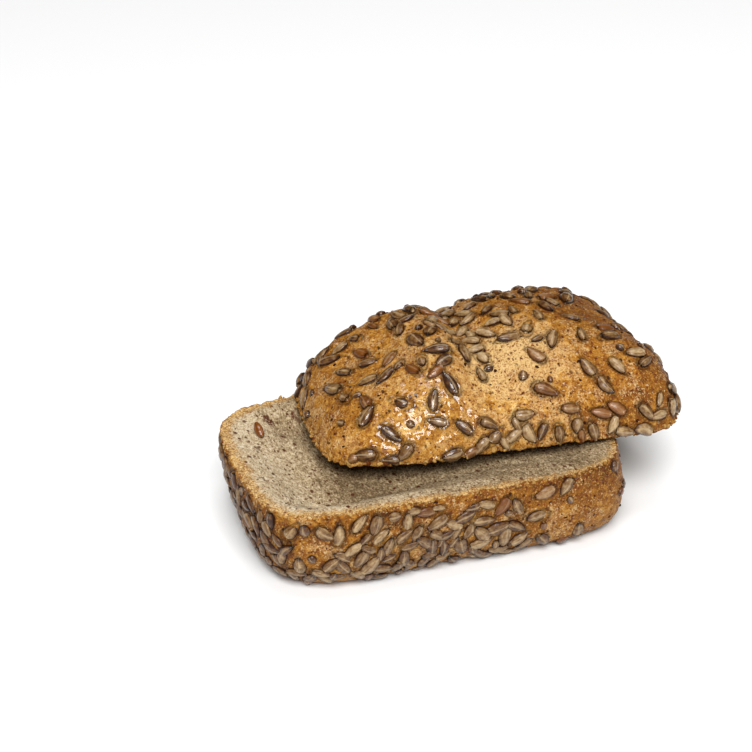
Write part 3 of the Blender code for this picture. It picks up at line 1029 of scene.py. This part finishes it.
# Top half: the dome over the lid's grid and down its wall, closed by the flat cut, then moved the same way
def makeTop():
    grid, faces = canGrid(**topGrid)
    lid, edge, under = grid["lid"], grid["edge"], grid["under"]
    rows = topGrid["rows"]
    wallAngle = topForm["wallAngle"]
    lidRing = np.abs(lid).max(axis=1)
    lidPoints = topPoint(lid[:, 0], lid[:, 1], 1.0, wallAngle + (1 - lidRing) * (math.pi / 2 - wallAngle))
    wallPoints = rowsBelow(topPoint, edge, 1.0, wallAngle * (1 - np.arange(1, rows + 1) / rows)[:, None])
    underRing = np.abs(under).max(axis=1)
    underPoints = topPoint(under[:, 0], under[:, 1], underRing, np.zeros(len(under)))
    points = np.vstack([lidPoints, wallPoints, underPoints])
    normals = vertexNormals(points, faces)
    x, y, z = points.T

    f = topForm
    crust = len(lidPoints) + len(wallPoints)
    rim = topPoint(x[:crust], y[:crust], 1.0, np.zeros(crust))[:, 2]
    inwards = toOutline(under[:, 0], under[:, 1], underRing, f["length"], f["width"], f["squareness"])
    fromEdge = np.concatenate([-np.maximum(z[:crust] - rim, 0), inwards])
    isCrust = ramp(fromEdge, 0.0002, -0.0012)  # full 1.2 mm down the crust
    isCrumb = ramp(fromEdge, 0.0, 0.0020)  # full 2 mm inside the cut
    relief, seedRingShade = seedRelief(points, topAll)
    glazed = mound(x, y, (-0.042, -0.036), (0.030, 0.018))
    crumb = crumbHeight(points * np.array([1, -1, 1])) * isCrumb
    height = (crustHeight(points + 0.3, glazed) + relief) * isCrust + crumb
    shaped = points + normals * height[:, None]
    shaped += nibble(points, fromEdge, 0.0018, 83)
    shaped[:, 2] = np.maximum(shaped[:, 2], -0.0002)

    numbers = {
        "bakeAndPaintedLight": topTone(x, y, z),
        "gloss": topBakeAndLight["gloss"] + topBakeAndLight["pooledGloss"] * glazed,
        "fromEdge": fromEdge * 1000,
        "seedRingShade": seedRingShade * isCrust,
        "stainAndShade": np.zeros(len(x)),
        "crumbPaintedShade": np.zeros(len(x)),
    }
    piece = meshPiece("top_bread", placeTop(shaped), faces, breadMaterial, numbers)
    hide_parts("top_half")


makeTop()
print("top half made")

# a kernel's points round it and rings along it, its shape in shares of its length, the powers that make its
# ends blunt or pointed, and how far it is raised out of the crust
kernelShape = {
    "around": 8,
    "rings": 6,
    "width": 0.56,
    "thickness": 0.33,
    "blunt": 0.46,
    "point": 0.68,
    "raised": 0.035,
}
pressedKernel = dict(kernelShape, raised=0.0, width=0.58)
slimKernel = dict(kernelShape, width=0.30, point=0.62, blunt=0.5)
roundKernel = dict(kernelShape, width=0.88, thickness=0.70, blunt=0.5, point=0.55, raised=0.10)


# A kernel along X: t runs from its blunt end to its tip, its half width goes as t to a small power times
# 1 - t to a larger one, and its section is a flat ellipse. Each seed has its own plumpness and bend.
def kernelPoints(count, rng, shape):
    rings, around = shape["rings"], shape["around"]
    t = 0.5 - 0.5 * np.cos(math.pi * (np.arange(1, rings + 1) / (rings + 1)))
    phi = 2 * math.pi * np.arange(around) / around
    blunt, point = shape["blunt"], shape["point"]
    peak = blunt / (blunt + point)
    half = t**blunt * (1 - t) ** point / (peak**blunt * (1 - peak) ** point)
    plump = rng.uniform(0.85, 1.15, (count, 1, 1))
    thick = rng.uniform(0.85, 1.20, (count, 1, 1))
    bend = rng.normal(0, 0.05, (count, 1, 1))
    cut = 1 - 0.35 * (rng.uniform(0, 1, (count, 1, 1)) < 0.07)  # a few are broken short
    x = (t[None, :, None] - 0.5) * cut + 0 * phi[None, None, :]
    y = shape["width"] / 2 * half[None, :, None] * np.cos(phi) * plump
    ridge = np.sin(phi) * (0.92 + 0.12 * np.abs(np.sin(phi)))
    z = shape["thickness"] / 2 * half[None, :, None] ** 0.85 * ridge * thick
    y = y + bend * (4 * x * x - 0.5)
    ends = np.zeros((count, 2, 3))
    ends[:, 0, 0] = -0.5 * cut[:, 0, 0]
    ends[:, 1, 0] = 0.5 * cut[:, 0, 0]
    ends[:, :, 1] = bend[:, :, 0] * 0.5
    body = np.stack([x, y, z], axis=-1).reshape(count, -1, 3)
    points = np.concatenate([body, ends], axis=1)
    along = np.concatenate([np.repeat(t, around), [0.0, 1.0]])
    side = np.concatenate([np.tile(np.cos(phi), rings), [0.0, 0.0]])
    return points, along, side


# quads between a kernel's rings and a fan of triangles at each end, repeated for every kernel
def kernelFaces(count, shape):
    rings, around = shape["rings"], shape["around"]
    index = np.arange(rings * around).reshape(rings, around)
    loop = np.hstack([index, index[:, :1]])
    quads = gridFaces(loop)[:, ::-1]
    first, last = rings * around, rings * around + 1
    startFan = np.stack([loop[0, :-1], loop[0, 1:], np.full(around, first)], -1)[:, ::-1]
    endFan = np.stack([loop[-1, 1:], loop[-1, :-1], np.full(around, last)], -1)[:, ::-1]
    size = rings * around + 2
    shift = (np.arange(count) * size)[:, None, None]
    quads = (quads[None] + shift).reshape(-1, 4)
    fans = (np.concatenate([startFan, endFan])[None] + shift).reshape(-1, 3)
    return quads.tolist() + fans.tolist()


# kernels moved to their spots, turned to their directions, and raised by a share of their length
def turnInto(points, spots, raised):
    x, y, z = np.moveaxis(points * spots["length"][:, None, None], -1, 0)[..., None]
    moved = x * spots["axis"][:, None] + y * spots["across"][:, None] + z * spots["face"][:, None]
    return moved + (spots["point"] + spots["face"] * raised * spots["length"][:, None])[:, None]


# kernels on their spots, with their tones and how far along and across each point is for the finish
def makeSeeds(name, shape, spots, roast, amber, glaze, draw, node, place=None):
    rng = np.random.default_rng(draw)
    count = len(spots["length"])
    points, along, side = kernelPoints(count, rng, shape)
    points = turnInto(points, spots, shape["raised"])
    if place:
        points = place(points)
    each = points.shape[1]
    numbers = {
        "roast": np.repeat(roast, each),
        "amber": np.repeat(amber, each),
        "glaze": np.repeat(glaze, each),
        "along": np.tile(along, count),
        "side": np.tile(side, count),
    }
    piece = meshPiece(name, points, kernelFaces(count, shape), seedMaterial, numbers)
    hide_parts(node)


# the start of each random draw, how roasted the seeds are from 0 to 1, how much that varies, the share of
# them that is amber, and their glaze
seedTone = {
    "bottom": {"draw": 5, "roast": 0.57, "spread": 0.13, "amber": 0.06, "glaze": 0.16},
    "top": {"draw": 6, "roast": 0.52, "spread": 0.12, "amber": 0.14, "glaze": 0.34},
    "bottomRound": {"draw": 7, "roast": 0.72, "spread": 0.10, "amber": 0.2, "glaze": 0.5},
    "topRound": {"draw": 8, "roast": 0.78, "spread": 0.10, "amber": 0.2, "glaze": 0.7},
}


# Each seed's roast, amber and glaze: the usual roast and glaze plus what its place adds, which at the bottom
# half's left end is painted shade, with some variation in the roast, and amber in a few
def seedTones(moreRoastAndShade, moreGlaze, draw, roast, spread, amber, glaze):
    rng = np.random.default_rng(draw)
    count = len(moreRoastAndShade)
    roasts = np.clip(roast + moreRoastAndShade + rng.normal(0, spread, count), 0.02, 0.98)
    ambers = np.where(rng.uniform(0, 1, count) < amber, rng.uniform(0.35, 0.75, count), 0.0)
    return roasts, ambers, np.clip(glaze + moreGlaze, 0, 1)


# the seeds at the bottom half's left end are darkened as painted shade
x = bottomAll["point"][:, 0]
tones = seedTones(0.09 * ramp(x, -0.050, -0.068), 0 * x, **seedTone["bottom"])
makeSeeds("bottom_seeds", pressedKernel, bottomAll, *tones, 41, "bottom_half")

# the one kernel that sticks in the crumb
crumbSeed = {
    "spot": (-0.0589, 0.0238, 0.0373),
    "heading": math.radians(99),
    "tilt": math.radians(32),
    "length": 0.0118,
    "tones": ([0.80], [1.0], [0.9]),  # roast, amber and glaze
}


# its directions: ahead by its heading, raised by its tilt, and level across
def crumbSeedSpot():
    heading, tilt = crumbSeed["heading"], crumbSeed["tilt"]
    ahead = np.array([math.cos(heading), math.sin(heading), 0])
    axis = ahead * math.cos(tilt) + np.array([0, 0, math.sin(tilt)])
    across = np.cross([0, 0, 1], ahead)
    spot = {"point": crumbSeed["spot"], "axis": axis, "across": across, "face": np.cross(axis, across)}
    return {key: np.array([value]) for key, value in dict(spot, length=crumbSeed["length"]).items()}


makeSeeds("crumb_seed", slimKernel, crumbSeedSpot(), *crumbSeed["tones"], 40, "bottom_half")

x, y, z = topAll["point"].T
glazed = mound(x, y, (-0.040, -0.034), (0.030, 0.018))
onRim = ramp(z, 0.012, 0.005) * (x > -0.02) * (y < 0)
onSaddle = mound(x, y, (-0.004, -0.002), (0.014, 0.018))
more = 0.16 * ramp(x, -0.010, -0.030) + 0.14 * glazed - 0.12 * onRim - 0.16 * onSaddle
tones = seedTones(more, 0.66 * glazed, **seedTone["top"])
makeSeeds("top_seeds", kernelShape, topAll, *tones, 43, "top_half", placeTop)

none = np.zeros(len(bottomRound["length"]))
tones = seedTones(none, none, **seedTone["bottomRound"])
makeSeeds("bottom_round_seeds", roundKernel, bottomRound, *tones, 47, "bottom_half")
none = np.zeros(len(topRound["length"]))
tones = seedTones(none, none, **seedTone["topRound"])
makeSeeds("top_round_seeds", roundKernel, topRound, *tones, 48, "top_half", placeTop)
print("seeds made")

# bran flakes and crumbs: their shape in shares of their length, the share of each tone on the bottom and
# the top half, from pale to dark, and between which levels the crumbs lie
bitShape = dict(kernelShape, around=6, rings=3, width=0.70, thickness=0.50, blunt=0.5, point=0.5, raised=0.02)
branTones = {"tones": [0.3, 0.65, 0.95], "bottom": [0.3, 0.35, 0.35], "top": [0.25, 0.35, 0.40]}
crumbTones = {"tones": [0.18, 0.36, 0.60], "bottom": [0.45, 0.43, 0.12], "top": [0.45, 0.47, 0.08]}
rimCrumbs = {
    "bottom": {"low": 0.975, "high": 0.998, "count": 220, "draw": 151, "size": 0.0013},
    "top": {"low": 0.004, "high": 0.030, "count": 260, "draw": 152, "size": 0.0017},
}


# bran or crumbs: small kernels with every point pushed in or out, so that they look broken
def makeBits(name, spots, tones, draw, node, place=None):
    rng = np.random.default_rng(draw)
    count = len(spots["length"])
    points = kernelPoints(count, rng, bitShape)[0]
    points = points * rng.uniform(0.65, 1.35, points.shape)
    points = turnInto(points, spots, bitShape["raised"])
    if place:
        points = place(points)
    numbers = {"roast": np.repeat(tones, points.shape[1])}
    piece = meshPiece(name, points, kernelFaces(count, bitShape), bitMaterial, numbers, smooth=False)
    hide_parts(node)


flakes = seedSpots(bottomWall, evenly, (0.0004, bottomForm["height"] - 0.0004), **seedKinds["bottomBran"])
rng = np.random.default_rng(9)
tones = rng.choice(branTones["tones"], len(flakes["length"]), p=branTones["bottom"])
makeBits("bottom_bran", flakes, tones, 45, "bottom_half")
flakes = seedSpots(topDome, evenly, (0.0004, 1.0), **seedKinds["topBran"])
tones = rng.choice(branTones["tones"], len(flakes["length"]), p=branTones["top"])
makeBits("top_bran", flakes, tones, 46, "top_half", placeTop)


# points along a rim: the outline of a half at a level close to its cut, with directions of their own
def rimSpots(surface, low, high, count, draw, size):
    rng = np.random.default_rng(draw)
    turn = rng.uniform(0, 2 * math.pi, count)
    level = rng.uniform(low, high, count)
    axis = unit(rng.normal(0, 1, (count, 3)))
    across = unit(np.cross(axis, rng.normal(0, 1, (count, 3))))
    length = size * np.exp(rng.normal(0, 0.35, count))
    face = np.cross(axis, across)
    return {"point": surface(turn, level), "axis": axis, "across": across, "face": face, "length": length}


crumbs = rimSpots(bottomWall, **rimCrumbs["bottom"])
tones = rng.choice(crumbTones["tones"], len(crumbs["length"]), p=crumbTones["bottom"])
makeBits("bottom_rim_crumbs", crumbs, tones, 51, "bottom_half")
crumbs = rimSpots(topDome, **rimCrumbs["top"])
tones = rng.choice(crumbTones["tones"], len(crumbs["length"]), p=crumbTones["top"])
makeBits("top_rim_crumbs", crumbs, tones, 52, "top_half", placeTop)
print("bran and crumbs made")

# the table: half its width in metres, its grey, and how much it glows of itself
stageSetting = {"half": 3.0, "colour": 0.78, "glow": 0.01}
material, tree, shader = newMaterial("studio_floor")
inputs = {
    "Base Color": (stageSetting["colour"],) * 3 + (1,),
    "Roughness": 0.9,
    "Emission Color": (1, 1, 1, 1),
    "Emission Strength": stageSetting["glow"],
    "Specular IOR Level": 0.1,
}
fill(tree, shader, inputs)
half = stageSetting["half"]
mesh = bpy.data.meshes.new("floor")
corners = [(-half, -half, 0), (half, -half, 0), (half, half, 0), (-half, half, 0)]
mesh.from_pydata(corners, [], [(0, 1, 2, 3)])
mesh.materials.append(material)
floor = bpy.data.objects.new("floor", mesh)
bpy.context.scene.collection.objects.link(floor)

# key: a broad even light, given as its direction, angle across and strength; the lamps are square panels;
# world: a glow from all around, and how bright it is where the camera sees it
lightSetting = {
    "world": 0.14,
    "backdrop": 0.60,
    "key": {"towards": (-0.38, -0.62, 0.95), "across": 26.0, "strength": 2.0},
    "top": {"at": (0.10, 0.10, 1.97), "size": 0.90, "power": 13.0},
    "glint": {"at": (-0.26, -1.54, 1.69), "size": 1.00, "power": 45.0},
    "aim": (0.02, 0.0, 0.03),
}


# a light or camera in its place, turned so that it looks at a point
def turnTo(thing, at, aim):
    thing.location = at
    thing.rotation_euler = (Vector(aim) - Vector(at)).to_track_quat("-Z", "Y").to_euler()
    bpy.context.scene.collection.objects.link(thing)


def hang(name, kind, at):
    data = bpy.data.lights.new(name, kind)
    turnTo(bpy.data.objects.new(name, data), at, lightSetting["aim"])
    return data


def panelLight(name, at, size, power):
    data = hang(name, "AREA", at)
    data.shape = "SQUARE"
    data.size = size
    data.energy = power


def evenLight(name, towards, across, strength):
    data = hang(name, "SUN", towards)
    data.angle = math.radians(across)
    data.energy = strength
    bpy.data.objects[name].visible_glossy = False


evenLight("key", **lightSetting["key"])
panelLight("top", **lightSetting["top"])
panelLight("glint", **lightSetting["glint"])
world = bpy.data.worlds.new("studio")
world.use_nodes = True
seen = put(world.node_tree, "ShaderNodeLightPath").outputs["Is Camera Ray"]
glow = between(world.node_tree, seen, lightSetting["world"], lightSetting["backdrop"])
fill(world.node_tree, world.node_tree.nodes["Background"], {0: (1, 1, 1, 1), 1: glow})
world.cycles_visibility.glossy = False
bpy.context.scene.world = world
bpy.context.scene.view_settings.view_transform = "Standard"

cameraSetting = {
    "at": (-0.2250, -0.5883, 0.4056),
    "aim": (0.0236, 0.1161, 0.0),
    "lens": 87.1,
    "sensor": 36.0,
}
data = bpy.data.cameras.new("camera")
data.lens = cameraSetting["lens"]
data.sensor_width = cameraSetting["sensor"]
camera = bpy.data.objects.new("camera", data)
turnTo(camera, cameraSetting["at"], cameraSetting["aim"])
bpy.context.scene.camera = camera
print("stage ready")
